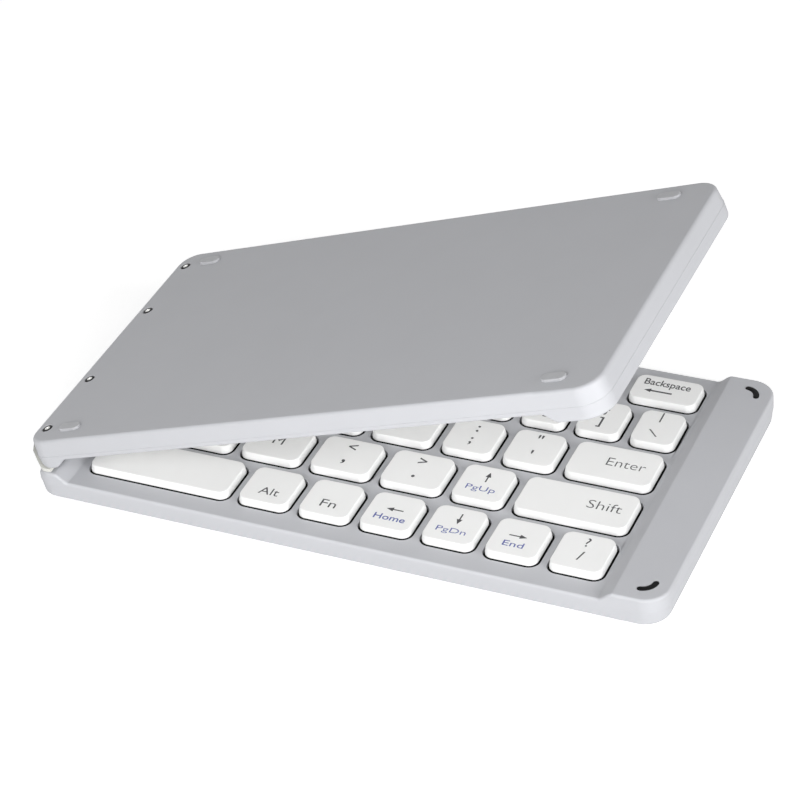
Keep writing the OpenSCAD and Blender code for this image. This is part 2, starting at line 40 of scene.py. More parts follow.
# Pieces are shaped in millimetres in the frame of their half: x from the hinge end,
# y from the front, z up from the key deck. settle() then puts them where the CAD says.
half = {
    "depth": 82.5,
    "baseLength": 155.2, "baseDrop": 5.2,
    "lidLength": 151.2, "lidDrop": 5.4,
    "footHeight": 0.6,
    "leftEnd": -0.85,       # the hinge caps reach past the hinge end
}
hinge = {
    "rodInset": 4.1,        # rods, from the hinge end of each half
    "rodDrop": 2.1,         # rods, under each deck
    "linkLength": 9.4,
    "lidAngle": 18.4,       # between the halves, in degrees
}
basePlace = Matrix.Scale(0.001, 4) @ Matrix.Translation((
    -(half["baseLength"] + half["leftEnd"]) / 2, -half["depth"] / 2,
    half["baseDrop"] + half["footHeight"]))
# The lid is shaped lying open to the left of its rod, then turned shut about it
lidPlace = (
    basePlace
    @ Matrix.Translation((hinge["rodInset"], 0, hinge["linkLength"] - hinge["rodDrop"]))
    @ Matrix.Rotation(math.radians(180 - hinge["lidAngle"]), 4, 'Y')
    @ Matrix.Translation((hinge["rodInset"], 0, hinge["rodDrop"])))
# Shapes that the lid shares with the base are turned end for end first
turnedPlace = (
    lidPlace @ Matrix.Translation((0, half["depth"], 0)) @ Matrix.Rotation(math.pi, 4, 'Z'))


# Modelling helpers

touch = 0.001       # a vertex this close to a place, in millimetres, lies at it
hair = 0.01         # too small a distance to show
beyond = 1          # how far a cutting block reaches past what it cuts
square = 60         # edges sharper than this, in degrees, are corners
smooth = 35         # edges blunter than this don't show
flat = 0.2          # and faces that meet at less are one


def activate(piece):
    bpy.ops.object.select_all(action='DESELECT')
    piece.select_set(True)
    bpy.context.view_layer.objects.active = piece


def startEdit(piece):
    activate(piece)
    bpy.ops.object.mode_set(mode='EDIT')


def stopEdit():
    bpy.ops.object.mode_set(mode='OBJECT')


def pick(piece, kind, wanted):
    # in edit mode: selects just the vertices, edges or faces that are wanted
    bpy.ops.mesh.select_mode(type=kind)
    bpy.ops.mesh.select_all(action='DESELECT')
    cage = bmesh.from_edit_mesh(piece.data)
    for part in {'VERT': cage.verts, 'EDGE': cage.edges, 'FACE': cage.faces}[kind]:
        if wanted(part):
            part.select_set(True)
    bmesh.update_edit_mesh(piece.data)


def atHeight(height):
    return lambda part: all(abs(v.co.z - height) < 2 * touch for v in part.verts)


def upright(edge):
    a, b = (v.co for v in edge.verts)
    return math.hypot(a.x - b.x, a.y - b.y) < touch


def sharpness(edge):
    return math.degrees(edge.calc_face_angle(0))


def bevel(width, segments):
    bpy.ops.mesh.bevel(offset=width, offset_type='OFFSET', segments=segments, profile=0.5,
                       affect='EDGES', clamp_overlap=False)


def cutAcross(point, normal, **options):
    bpy.ops.mesh.select_all(action='SELECT')
    bpy.ops.mesh.bisect(plane_co=point, plane_no=normal, threshold=touch / 2, **options)


def extrude(way):
    bpy.ops.mesh.extrude_region_move(TRANSFORM_OT_translate={"value": way})


def applyTransform():
    bpy.ops.object.transform_apply(location=True, rotation=True, scale=True)


def addBlock(name, low, high):
    middle = [(a + b) / 2 for a, b in zip(low, high)]
    bpy.ops.mesh.primitive_cube_add(size=1, location=middle)
    block = bpy.context.object
    block.name = name
    block.scale = [b - a for a, b in zip(low, high)]
    applyTransform()
    return block


def addRoundBlock(name, low, high, radius, segments):
    block = addBlock(name, low, high)
    startEdit(block)
    pick(block, 'EDGE', upright)
    bevel(radius, segments)
    stopEdit()
    return block


def addDepthBlock(name, low, high, radius, segments):
    # as above, with the edges that run from front to back rounded
    block = addRoundBlock(name, (low[0], low[2], -high[1]), (high[0], high[2], -low[1]),
                          radius, segments)
    block.rotation_euler = (math.pi / 2, 0, 0)
    applyTransform()
    return block


def copyOf(piece, name):
    activate(piece)
    bpy.ops.object.duplicate()
    twin = bpy.context.object
    twin.name = name
    return twin


def joined(pieces, name):
    bpy.ops.object.select_all(action='DESELECT')
    for piece in pieces:
        piece.select_set(True)
    bpy.context.view_layer.objects.active = pieces[0]
    if len(pieces) > 1:
        bpy.ops.object.join()
    pieces[0].name = name
    return pieces[0]


def triangulate(piece):
    # flat triangles keep one cut after another exact
    startEdit(piece)
    bpy.ops.mesh.select_all(action='SELECT')
    bpy.ops.mesh.quads_convert_to_tris(quad_method='BEAUTY', ngon_method='BEAUTY')
    stopEdit()


def combine(piece, other, operation='DIFFERENCE'):
    triangulate(other)
    triangulate(piece)
    bpy.ops.object.modifier_add(type='BOOLEAN')
    modifier = piece.modifiers[-1]
    modifier.object = other
    modifier.operation = operation
    modifier.solver = 'MANIFOLD'
    bpy.ops.object.modifier_apply(modifier=modifier.name)
    bpy.data.objects.remove(other)


def moveBy(piece, x, y, z=0):
    activate(piece)
    piece.location = (x, y, z)
    applyTransform()


def settle(piece, place, body, nodes=()):
    # puts a finished piece where it belongs, with its place in its mesh
    activate(piece)
    bpy.ops.object.shade_smooth_by_angle(angle=math.radians(smooth))
    # large flat faces keep their own direction, so that the bevels round them shade cleanly
    bpy.ops.object.modifier_add(type='WEIGHTED_NORMAL')
    modifier = piece.modifiers[-1]
    modifier.keep_sharp = True
    modifier.weight = 100
    bpy.ops.object.modifier_apply(modifier=modifier.name)
    piece.matrix_world = place
    applyTransform()
    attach(piece, body)
    if nodes:
        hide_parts(*nodes)


# Materials

def linear(hexColour):
    channels = [int(hexColour[i:i + 2], 16) / 255 for i in (1, 3, 5)]
    return tuple(
        c / 12.92 if c <= 0.04045 else ((c + 0.055) / 1.055) ** 2.4 for c in channels) + (1,)


def addNode(tree, kind, settings, links=()):
    # settings name a property or an input socket; links are (input, node, output)
    node = tree.nodes.new(kind)
    for key, value in settings.items():
        if isinstance(key, str) and hasattr(node, key):
            setattr(node, key, value)
        else:
            node.inputs[key].default_value = value
    for socket, source, output in links:
        tree.links.new(source.outputs[output], node.inputs[socket])
    return node


def newMaterial(name):
    material = bpy.data.materials.new(name)
    material.use_nodes = True
    tree = material.node_tree
    tree.nodes.clear()
    return material, tree


def makeMoulded(name, colour, shade, roughness, grainSize, grainDepth, specular=0.5):
    # injection moulded plastic or rubber: nearly even colour, an eroded mould's fine grain
    material, tree = newMaterial(name)
    place = addNode(tree, 'ShaderNodeTexCoord', {})
    # slow drift of the tint over some 14 mm, as flow in the mould leaves
    drift = addNode(tree, 'ShaderNodeTexNoise', {'Scale': 70.0, 'Detail': 2.0, 'Roughness': 0.5},
                    [('Vector', place, 'Object')])
    tint = addNode(tree, 'ShaderNodeMix', {
        'data_type': 'RGBA', 6: linear(colour), 7: linear(shade)}, [(0, drift, 'Fac')])
    # one bump of the grain for each grainSize
    grain = addNode(tree, 'ShaderNodeTexNoise', {
        'Scale': 1000.0 / grainSize, 'Detail': 3.0, 'Roughness': 0.6},
        [('Vector', place, 'Object')])
    polish = addNode(tree, 'ShaderNodeMapRange', {
        'To Min': roughness - 0.05, 'To Max': roughness + 0.05}, [('Value', grain, 'Fac')])
    bump = addNode(tree, 'ShaderNodeBump', {
        'Strength': 0.35, 'Distance': grainDepth * 0.001}, [('Height', grain, 'Fac')])
    shader = addNode(tree, 'ShaderNodeBsdfPrincipled', {
        'IOR': 1.53, 'Specular IOR Level': specular}, [
        ('Base Color', tint, 2), ('Roughness', polish, 'Result'), ('Normal', bump, 'Normal')])
    addNode(tree, 'ShaderNodeOutputMaterial', {}, [('Surface', shader, 'BSDF')])
    return material


def darker(colour, share):
    return tuple(share * channel for channel in colour[:3]) + (1,)


def makeMetal(name, colour, roughness, stretch):
    # drawn, stamped or turned metal: fine lines along one direction that vary the gloss
    material, tree = newMaterial(name)
    place = addNode(tree, 'ShaderNodeTexCoord', {})
    turn = addNode(tree, 'ShaderNodeMapping', {'Scale': stretch}, [('Vector', place, 'Object')])
    lines = addNode(tree, 'ShaderNodeTexNoise', {'Scale': 4000.0, 'Detail': 3.0},
                    [('Vector', turn, 'Vector')])
    tone = addNode(tree, 'ShaderNodeMix', {
        'data_type': 'RGBA', 6: linear(colour), 7: darker(linear(colour), 0.85)},
        [(0, lines, 'Fac')])
    gloss = addNode(tree, 'ShaderNodeMapRange', {
        'To Min': roughness - 0.06, 'To Max': roughness + 0.08}, [('Value', lines, 'Fac')])
    bump = addNode(tree, 'ShaderNodeBump', {'Strength': 0.2, 'Distance': 0.00002},
                   [('Height', lines, 'Fac')])
    shader = addNode(tree, 'ShaderNodeBsdfPrincipled', {'Metallic': 1.0}, [
        ('Base Color', tone, 2), ('Roughness', gloss, 'Result'), ('Normal', bump, 'Normal')])
    addNode(tree, 'ShaderNodeOutputMaterial', {}, [('Surface', shader, 'BSDF')])
    return material


def makeSilicone(name, colour, milk):
    # cast silicone: soft, milky and a little see-through, with a faint cloudiness inside
    material, tree = newMaterial(name)
    place = addNode(tree, 'ShaderNodeTexCoord', {})
    cloud = addNode(tree, 'ShaderNodeTexNoise', {'Scale': 1200.0, 'Detail': 2.0},
                    [('Vector', place, 'Object')])
    tint = addNode(tree, 'ShaderNodeMix', {
        'data_type': 'RGBA', 6: linear(colour), 7: darker(linear(colour), 0.92)},
        [(0, cloud, 'Fac')])
    bump = addNode(tree, 'ShaderNodeBump', {'Strength': 0.15, 'Distance': 0.00003},
                   [('Height', cloud, 'Fac')])
    shader = addNode(tree, 'ShaderNodeBsdfPrincipled', {
        'IOR': 1.41, 'Roughness': 0.32, 'Transmission Weight': milk,
        'Subsurface Weight': 0.4, 'Subsurface Radius': (0.001, 0.001, 0.001)}, [
        ('Base Color', tint, 2), ('Normal', bump, 'Normal')])
    addNode(tree, 'ShaderNodeOutputMaterial', {}, [('Surface', shader, 'BSDF')])
    return material


# What a user may repaint. Moulded: material, colour, the shade it drifts to, roughness, size
# and depth of its grain in millimetres, specular level
finishes = {
    "casing": ("casingAbs", "#bdbec2", "#b9babe", 0.46, 0.22, 0.05),
    "deck": ("deckAbs", "#bdbec2", "#b9babe", 0.5, 0.22, 0.05),
    "keycap": ("keycapAbs", "#f5f5f4", "#f1f1f0", 0.42, 0.16, 0.03),
    # the next is near black paint for the caps' faces below the deck, painted shade in the gap
    # round each key
    "keyGapShade": ("keyFrameAcetal", "#101011", "#161617", 0.6, 0.2, 0.03, 0.2),
    "cream": ("hingeCapPolycarbonate", "#d6d6d0", "#cfcfc9", 0.45, 0.2, 0.03),
    "ink": ("legendInk", "#4a4a4c", "#565658", 0.6, 0.12, 0.02, 0.3),
    "navyInk": ("navyLegendInk", "#5560a0", "#6069a4", 0.6, 0.12, 0.02, 0.3),
    "rubber": ("bumperRubber", "#09090a", "#0f0f10", 0.55, 0.15, 0.04, 0.12),
    "switch": ("switchNylon", "#2b2c2f", "#333437", 0.45, 0.15, 0.03),
    "battery": ("batteryFoilPouch", "#8d949b", "#7f868e", 0.5, 0.6, 0.04),
    "board": ("boardSolderMask", "#2f5a3c", "#274f34", 0.38, 0.5, 0.02),
    "ribbon": ("ribbonPolyimide", "#c77a2c", "#b56c22", 0.35, 0.4, 0.02),
}
# Material, colour, roughness, and how its lines are stretched
metals = {
    "steel": ("drawnSteel", "#b9bcc0", 0.32, (1, 0.05, 1)),
    "bracket": ("zincPlatedSteel", "#a9adb2", 0.4, (1, 0.2, 1)),
    "screw": ("turnedScrewSteel", "#e4e4e2", 0.4, (1, 1, 1)),
    # the next is near black paint for the screw heads round their bright middles, painted shade
    # of the gap round each head
    "screwShadeSteel": ("blackenedSteel", "#151516", 0.4, (1, 1, 1)),
    "magnet": ("nickelPlate", "#c2bfb6", 0.22, (1, 1, 1)),
}
# Material, colour, and how much light goes through
silicones = {
    "foot": ("footSilicone", "#c6c7ca", 0.12),
    "dome": ("domeSilicone", "#8c8e90", 0.2),
    "light": ("lightLens", "#bfe3c4", 0.5),
}
looks = {}
for make, kinds in ((makeMoulded, finishes), (makeMetal, metals), (makeSilicone, silicones)):
    looks.update({look: make(*values) for look, values in kinds.items()})


def dress(piece, *names):
    piece.data.materials.clear()
    for name in names:
        piece.data.materials.append(looks[name])
    return piece


nodeLooks = {
    "steel": ["base_key_plate", "lid_key_plate", "hinge_rods", "charging_port"],
    "bracket": ["base_hinge_brackets", "lid_hinge_brackets", "hinge_links"],
    "dome": ["base_dome_sheet", "lid_dome_sheet"],
    "magnet": ["base_magnets", "lid_magnets"],
    "board": ["circuit_board"],
    "battery": ["battery"],
    "ribbon": ["ribbon_cable"],
    "switch": ["switch_housing", "power_switch"],
    "light": ["status_light"],
    "cream": ["lid_hinge_caps"],
    "screw": ["base_screws", "lid_screws"],
    "foot": ["base_feet", "lid_feet"],
    "rubber": ["base_bumpers", "lid_bumpers"],
    "casing": ["base_back_shell", "lid_back_shell"],
    "deck": ["base_deck", "lid_deck"],
}
for look, nodes in nodeLooks.items():
    for node in nodes:
        dress(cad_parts[node], look)
for node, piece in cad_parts.items():
    if "key" in node and "plate" not in node:
        dress(piece, "keycap")
print("materials made,", len(looks))


# Camera, floor and lights

cameraView = {
    "place": (0.229851, -0.444269, 0.384799),
    "turn": (53.41940, 4.91039, 23.75550),
    "lens": 120.958, "sensor": 36, "nearest": 0.01,
}
bpy.ops.object.camera_add(
    location=cameraView["place"], rotation=[math.radians(a) for a in cameraView["turn"]])
camera = bpy.context.object
camera.data.lens = cameraView["lens"]
camera.data.sensor_width = cameraView["sensor"]
camera.data.clip_start = cameraView["nearest"]
bpy.context.scene.camera = camera
bpy.context.scene.view_settings.view_transform = 'Standard'

studio = {
    "floorSize": 4.0, "floorShade": 0.9, "floorGlow": 0.5,
    "world": 0.3,
    "aim": (0, 0, 0.02),
    "lamps": [  # place, width, height, power in watts
        ((0.02, -0.42, 0.225), 0.5, 0.3, 1.75),
        ((0.85, -0.25, 0.36), 0.6, 0.4, 6.0),
        ((-0.9, 0.1, 0.3), 0.6, 0.4, 0.6),
    ],
}
for index, (place, width, height, power) in enumerate(studio["lamps"]):
    aim = (Vector(studio["aim"]) - Vector(place)).to_track_quat('-Z', 'Y')
    bpy.ops.object.light_add(type='AREA', location=place, rotation=aim.to_euler())
    lamp = bpy.context.object
    lamp.name = f"softbox{index + 1}"
    lamp.data.shape = 'RECTANGLE'
    lamp.data.size = width
    lamp.data.size_y = height
    lamp.data.energy = power

# The world lights less than it shows to the camera and in reflections
world = bpy.data.worlds.new("studioWorld")
bpy.context.scene.world = world
world.use_nodes = True
sky = world.node_tree
sky.nodes.clear()
ray = addNode(sky, 'ShaderNodeLightPath', {})
seen = addNode(sky, 'ShaderNodeMath', {'operation': 'MAXIMUM'},
               [(0, ray, 'Is Camera Ray'), (1, ray, 'Is Transmission Ray')])
seenOrShiny = addNode(sky, 'ShaderNodeMath', {'operation': 'MAXIMUM'},
                      [(0, seen, 'Value'), (1, ray, 'Is Glossy Ray')])
level = addNode(sky, 'ShaderNodeMapRange', {'To Min': studio["world"], 'To Max': 1.0},
                [('Value', seenOrShiny, 'Value')])
glow = addNode(sky, 'ShaderNodeBackground', {'Color': (1, 1, 1, 1)},
               [('Strength', level, 'Result')])
addNode(sky, 'ShaderNodeOutputWorld', {}, [('Surface', glow, 'Background')])

bpy.ops.mesh.primitive_plane_add(size=studio["floorSize"], location=(0, 0, 0))
floor = bpy.context.object
floor.name = "studioFloor"
floorPaper, paper = newMaterial("backdropPaper")
# The camera sees the paper with a glow of its own, which its shadows darken
ray = addNode(paper, 'ShaderNodeLightPath', {})
matte = addNode(paper, 'ShaderNodeBsdfDiffuse', {'Color': [studio["floorShade"]] * 3 + [1]})
white = addNode(paper, 'ShaderNodeEmission', {
    'Color': (1, 1, 1, 1), 'Strength': studio["floorGlow"]})
both = addNode(paper, 'ShaderNodeAddShader', {}, [(0, matte, 'BSDF'), (1, white, 'Emission')])
mixed = addNode(paper, 'ShaderNodeMixShader', {}, [
    (0, ray, 'Is Camera Ray'), (1, matte, 'BSDF'), (2, both, 'Shader')])
addNode(paper, 'ShaderNodeOutputMaterial', {}, [('Surface', mixed, 'Shader')])
floor.data.materials.append(floorPaper)
print("camera, lamps and floor placed")


# Casings

casing = {
    "railHeight": 2.3, "railFlat": 11.5, "slope": 3.7,
    "knuckle": 4.1,         # radius of the hinge end about its rod
    "humpHeight": 2.0, "humpFoot": 9.6,
    "lip": 1.3,             # how far down the deck cover's side reaches
    "skin": 1.0, "wall": 1.2,
    "freeCorner": 6.0, "hingeCorner": 5.0, "cornerSegments": 12,
    "topRound": 0.7, "backRound": 0.9, "roundSegments": 5,
    "topSharp": 40, "backSharp": 35,  # degrees over which an edge is rounded
    "knuckleTurn": 9,       # degrees from one edge across the knuckle to the next
    "slopeSteps": 8,        # from one end of a slope to the other
    "shoulder": 0.2,        # from the knuckle's top to the next edge
    "draft": 0.3,           # how far the walls lean in towards the back
    "linkPlaces": (15.75, 41.25, 66.75), "linkWidths": (12.5, 10.0, 12.5),
    "linkGap": 0.3, "linkRadius": 1.75,
    "holeGap": 0.52, "holeRim": 0.18,  # round each key
    "reveal": 0.05,         # step in under the lip, which shows the parting line
}


def smoothStep(t):
    t = min(max(t, 0), 1)
    return t * t * (3 - 2 * t)


def topHeight(x, length, wall, skin):
    # height of the upper side over the deck: knuckle, hump, deck, slope and rail
    humpTop = casing["humpFoot"] - casing["slope"]
    railStart = length - casing["railFlat"] - casing["slope"]
    if x < hinge["rodInset"]:
        reach = casing["knuckle"] - wall
        return math.sqrt(max(0, reach ** 2 - (hinge["rodInset"] - x) ** 2)) - hinge["rodDrop"]
    if x < casing["humpFoot"]:
        return casing["humpHeight"] * (1 - smoothStep((x - humpTop) / casing["slope"])) - skin
    return casing["railHeight"] * smoothStep((x - railStart) / casing["slope"]) - skin


def topCuts(length, wall):
    # where the upper side bends, so where it needs an edge across it
    reach, turn = casing["knuckle"] - wall, casing["knuckleTurn"]
    slope, steps = casing["slope"], casing["slopeSteps"]
    cuts = [hinge["rodInset"] - reach * math.cos(math.radians(a)) for a in range(turn, 90, turn)]
    cuts += [hinge["rodInset"], hinge["rodInset"] + casing["shoulder"]]
    for end in (casing["humpFoot"], length - casing["railFlat"]):
        cuts += [end - slope + slope * i / steps for i in range(steps + 1)]
    return cuts


def makeHalfForm(name, length, drop, wall, skin):
    top = casing["railHeight"]
    form = addBlock(name, (wall, wall, skin - drop), (length - wall, half["depth"] - wall, top))
    startEdit(form)
    for corner, isFree in ((casing["freeCorner"], True), (casing["hingeCorner"], False)):
        pick(form, 'EDGE', lambda e: upright(e) and (e.verts[0].co.x > length / 2) == isFree)
        bevel(corner - wall, casing["cornerSegments"])
    for x in topCuts(length, wall):
        cutAcross((x, 0, 0), (1, 0, 0))
    cage = bmesh.from_edit_mesh(form.data)
    columns = sorted({round(v.co.x, 3) for v in cage.verts})
    for x in columns:
        pick(form, 'VERT', lambda v: abs(v.co.x - x) < 0.6 * touch and abs(v.co.z - top) < touch)
        bpy.ops.transform.translate(value=(0, 0, topHeight(x, length, wall, skin) - top))
    if wall == 0:
        # the cuts across the back would fold under its bevel
        pick(form, 'EDGE', lambda e: atHeight(-drop)(e) and sharpness(e) < flat)
        bpy.ops.mesh.dissolve_edges(use_verts=False)
        pick(form, 'EDGE', lambda e: sharpness(e) > casing["backSharp"]
             and all(v.co.z < -drop + hair for v in e.verts))
        bevel(casing["backRound"], casing["roundSegments"])
        pick(form, 'EDGE', lambda e: sharpness(e) > casing["topSharp"]
             and all(v.co.z > -hinge["rodDrop"] - hair for v in e.verts))
        bevel(casing["topRound"], casing["roundSegments"])
    stopEdit()
    return form


def makeLinkChannels():
    # the slots in the hinge end in which the links swing
    reach = casing["linkRadius"] + casing["linkGap"]
    blocks = []
    for middle, width in zip(casing["linkPlaces"], casing["linkWidths"]):
        side = width / 2 + casing["linkGap"]
        blocks.append(addBlock("linkChannel", (-beyond, middle - side, -hinge["rodDrop"] - reach),
                               (hinge["rodInset"] + reach, middle + side, 4 * beyond)))
    return joined(blocks, "linkChannels")


def makeHalfShells(which, length, drop):
    # the form is parted at the lip first, so that both parts are closed when they are hollowed
    deck = makeHalfForm(which + "_deck_cover", length, drop, 0, 0)
    shell = copyOf(deck, which + "_back_casing")
    startEdit(deck)
    cutAcross((0, 0, -casing["lip"]), (0, 0, 1), clear_inner=True, use_fill=True)
    stopEdit()
    startEdit(shell)
    cutAcross((0, 0, -casing["lip"]), (0, 0, 1), clear_outer=True, use_fill=True)
    # the shell stands back a hair under the lip, and leans in towards its back
    for inset, below in ((casing["reveal"], 0),
                         (casing["draft"], -drop + casing["backRound"] + 5 * hair)):
        pick(shell, 'VERT', lambda v: v.co.z < below)
        bpy.ops.transform.resize(
            value=(1 - 2 * inset / length, 1 - 2 * inset / half["depth"], 1),
            center_override=(length / 2, half["depth"] / 2, 0))
    stopEdit()
    for part in (deck, shell):
        combine(part, makeHalfForm("core", length, drop, casing["wall"], casing["skin"]))
        combine(part, makeLinkChannels())
    return deck, shell


baseDeck, baseShell = makeHalfShells("base", half["baseLength"], half["baseDrop"])
lidDeck, lidShell = makeHalfShells("lid", half["lidLength"], half["lidDrop"])
print("casing halves shaped")


# Keys

key = {
    "gap": 3.05, "rowPitch": 15.6, "frontMargin": 5.8, "hingeMargin": 11.9,
    "baseField": 126.55, "lidField": 122.55,
    "depth": 12.45, "backRowDepth": 9.65,
    # below dark the cap is painted near black, as painted shade in the gap round each key
    "top": 1.8, "skirt": 0.2, "dark": -0.1, "foot": -1.6,  # heights over the deck
    "corner": 2.2, "cornerSegments": 8,
    "sideInset": 0.24, "frontInset": 0.28, "backInset": 0.26,
    "rim": 0.22, "rimSegments": 3, "wall": 1.0, "roof": 1.1,
    "flange": 0.6, "flangeHeight": 0.5, "stemInset": 3.4,
    "spread": 0.4,          # how far each cap reaches into the gap at its free side
}
narrow, letter, bracket = 12.1, 14.65, 10.35  # widths of caps
# Rows from the back, keys from the free end; the last key of a row may fill what is left
rightRows = [
    [(16.25, "Backspace"), (narrow, "+ ="), (narrow, "_ -"), (narrow, ") 0"), (narrow, "( 9"),
     (narrow, "* 8"), (narrow, "& 7"), (narrow, "^ 6")],
    [(bracket, "| \\"), (bracket, "} ]"), (bracket, "{ ["), (letter, "P"), (letter, "O"),
     (letter, "I"), (letter, "U"), (letter, "Y")],
    [(20.45, "Enter"), (narrow, "\" '"), (narrow, ": ;"), (letter, "L"), (letter, "K"),
     (letter, "J"), (letter, "H")],
    [(26.65, "Shift"), (narrow, "PgUp"), (letter, "> ."), (letter, "< ,"), (letter, "M"),
     (letter, "N"), (None, "B")],
    [(narrow, "? /"), (narrow, "End"), (narrow, "PgDn"), (narrow, "Home"), (narrow, "Fn"),
     (narrow, "Alt"), (None, "")],
]
rightNodes = [
    ["key_backspace", "key_equals"],
    ["key_backslash", "key_right_bracket", "key_left_bracket"],
    ["key_enter", "key_quote", "key_semicolon", "key_l"],
    ["key_shift", "key_page_up", "key_dot", "key_comma", "key_m"],
    ["key_slash", "key_end", "key_page_down", "key_home", "key_fn", "key_alt", "key_space"],
]
# Rows from the back, keys from the hinge end
leftRows = [
    [(letter, "% 5"), (letter, "$ 4"), (letter, "# 3"), (letter, "@ 2"), (letter, "! 1"),
     (letter, "~ `"), (None, "Esc")],
    [(letter, "T"), (letter, "R"), (letter, "E"), (letter, "W"), (letter, "Q"), (None, "Tab")],
    [(letter, "G"), (letter, "F"), (letter, "D"), (letter, "S"), (letter, "A"), (None, "Caps")],
    [(letter, "B"), (letter, "V"), (letter, "C"), (letter, "X"), (letter, "Z"), (None, "Shift")],
    [(2 * letter + 2 * key["gap"], ""), (narrow, "Alt"), (narrow, "Menu"), (narrow, "Fn"),
     (narrow, "Del"), (None, "Ctrl")],
]
leftStagger = [0, 4, 0, 0, 0]


def layOut(rows, fromFreeEnd, stagger=(0, 0, 0, 0, 0)):
    # one (row, place in row, low x, front y, width, depth, words) for each key
    keys = []
    field = key["baseField"] if fromFreeEnd else key["lidField"]
    for index, row in enumerate(rows):
        front = key["frontMargin"] + (len(rows) - 1 - index) * key["rowPitch"]
        depth = key["backRowDepth"] if index == 0 else key["depth"]
        used = stagger[index]
        for place, (width, words) in enumerate(row):
            width = field - used if width is None else width
            low = key["hingeMargin"] + (field - used - width if fromFreeEnd else used)
            keys.append((index, place, low if fromFreeEnd else low - key["spread"], front,
                         width + key["spread"], depth, words))
            used += width + key["gap"]
    return keys


capForms = {}


def makeCap(width, depth):
    # one keycap about its own middle: flange, skirt, leaning sides, rounded rim, hollow, stem
    size = (round(width, 2), depth)
    if size not in capForms:
        x, y = width / 2, depth / 2
        cap = addBlock("capForm", (-x, -y, key["foot"]), (x, y, key["top"]))
        startEdit(cap)
        pick(cap, 'EDGE', upright)
        bevel(key["corner"], key["cornerSegments"])
        for height in (key["skirt"], key["foot"] + key["flangeHeight"], key["dark"]):
            cutAcross((0, 0, height), (0, 0, 1))
        pick(cap, 'VERT', lambda v: abs(v.co.z - key["top"]) < touch)
        front, back = key["frontInset"], key["backInset"]
        bpy.ops.transform.resize(
            value=(1 - 2 * key["sideInset"] / width, 1 - (front + back) / depth, 1),
            center_override=(0, 0, key["top"]))
        bpy.ops.transform.translate(value=(0, (front - back) / 2, 0))
        pick(cap, 'EDGE', atHeight(key["top"]))
        bevel(key["rim"], key["rimSegments"])
        pick(cap, 'FACE', lambda f: abs(f.normal.z) < 0.1
             and all(v.co.z < key["foot"] + key["flangeHeight"] + hair for v in f.verts))
        bpy.ops.mesh.extrude_region_shrink_fatten(
            MESH_OT_extrude_region={}, TRANSFORM_OT_shrink_fatten={
                "value": key["flange"], "use_even_offset": True})
        pick(cap, 'FACE', lambda f: f.normal.z < -0.9 and len(f.verts) > 4)
        hollow = key["top"] - key["roof"] - key["foot"]
        for inset, rise in ((key["wall"], hollow), (key["stemInset"], -hollow)):
            bpy.ops.mesh.inset(thickness=inset)
            extrude((0, 0, rise))
        # the cap is painted near black below the deck: painted shade, which shows in the gap
        # round each key
        dress(cap, "keycap", "keyGapShade")
        pick(cap, 'FACE', lambda f: all(v.co.z < key["dark"] + hair for v in f.verts))
        cap.active_material_index = 1
        bpy.ops.object.material_slot_assign()
        stopEdit()
        capForms[size] = cap
    return capForms[size]


def makeHoles(keys, name):
    gap, reach, holes = casing["holeGap"], 3 * beyond, []
    for _, _, low, front, width, depth, _ in keys:
        holes.append(addRoundBlock(
            "hole", (low - gap, front - gap, -reach),
            (low + width + gap, front + depth + gap, reach),
            key["corner"] + gap, key["cornerSegments"]))
    return joined(holes, name)


rightKeys = layOut(rightRows, True)
# The lid's keys lie to the left of the hinge when it is open
leftKeys = [(row, place, -low - width, front, width, depth, words)
            for row, place, low, front, width, depth, words
            in layOut(leftRows, False, leftStagger)]

combine(baseDeck, makeHoles(rightKeys, "baseHoles"))
lidHoles = makeHoles(leftKeys, "lidHoles")
activate(lidHoles)
lidHoles.rotation_euler = (0, 0, math.pi)
lidHoles.location = (0, half["depth"], 0)
applyTransform()
combine(lidDeck, lidHoles)
for deck in (baseDeck, lidDeck):
    startEdit(deck)
    bpy.ops.mesh.select_all(action='SELECT')
    bpy.ops.mesh.dissolve_limited(angle_limit=math.radians(flat))
    pick(deck, 'EDGE', lambda e: sharpness(e) > casing["topSharp"] and atHeight(0)(e))
    bevel(casing["holeRim"], segments=3)
    stopEdit()
print("decks cut")


# Legends

legend = {
    "size": 4.15,           # of symbols and letters
    "ink": 0.015,           # half of the ink's thickness
    "bold": 0.035,          # added to each side of a stroke, unless strokes says otherwise
    "upper": 1.8, "lower": -2.9, "letter": -1.0,  # baselines from the key's middle
    "draw": (-0.3, -0.12),  # change of both for each millimetre that a key is shallower
    "longKey": 20, "edge": 3.0,  # on wider keys, from the free end to the word
    "capital": 0.682,       # height of a capital, as a share of the text's size
}
# word: width, height of a capital, x and baseline from the key's middle
wordPlaces = {
    "Backspace": (11.3, 2.2, -0.35, 1.0),
    "End": (4.9, 1.75, -0.3, -3.2),
    "PgDn": (7.1, 1.65, -0.05, -2.9),
    "PgUp": (7.1, 1.7, -0.1, -2.8),
    "Home": (7.6, 1.8, 0.15, -3.15),
    "Alt": (4.9, 2.4, 0.4, -3.2),
    "Fn": (3.8, 2.5, 0.1, -3.1),
}
longWords = {"Enter": 9.2, "Shift": 8.1}  # their widths
navyWords = ("End", "PgDn", "PgUp", "Home")
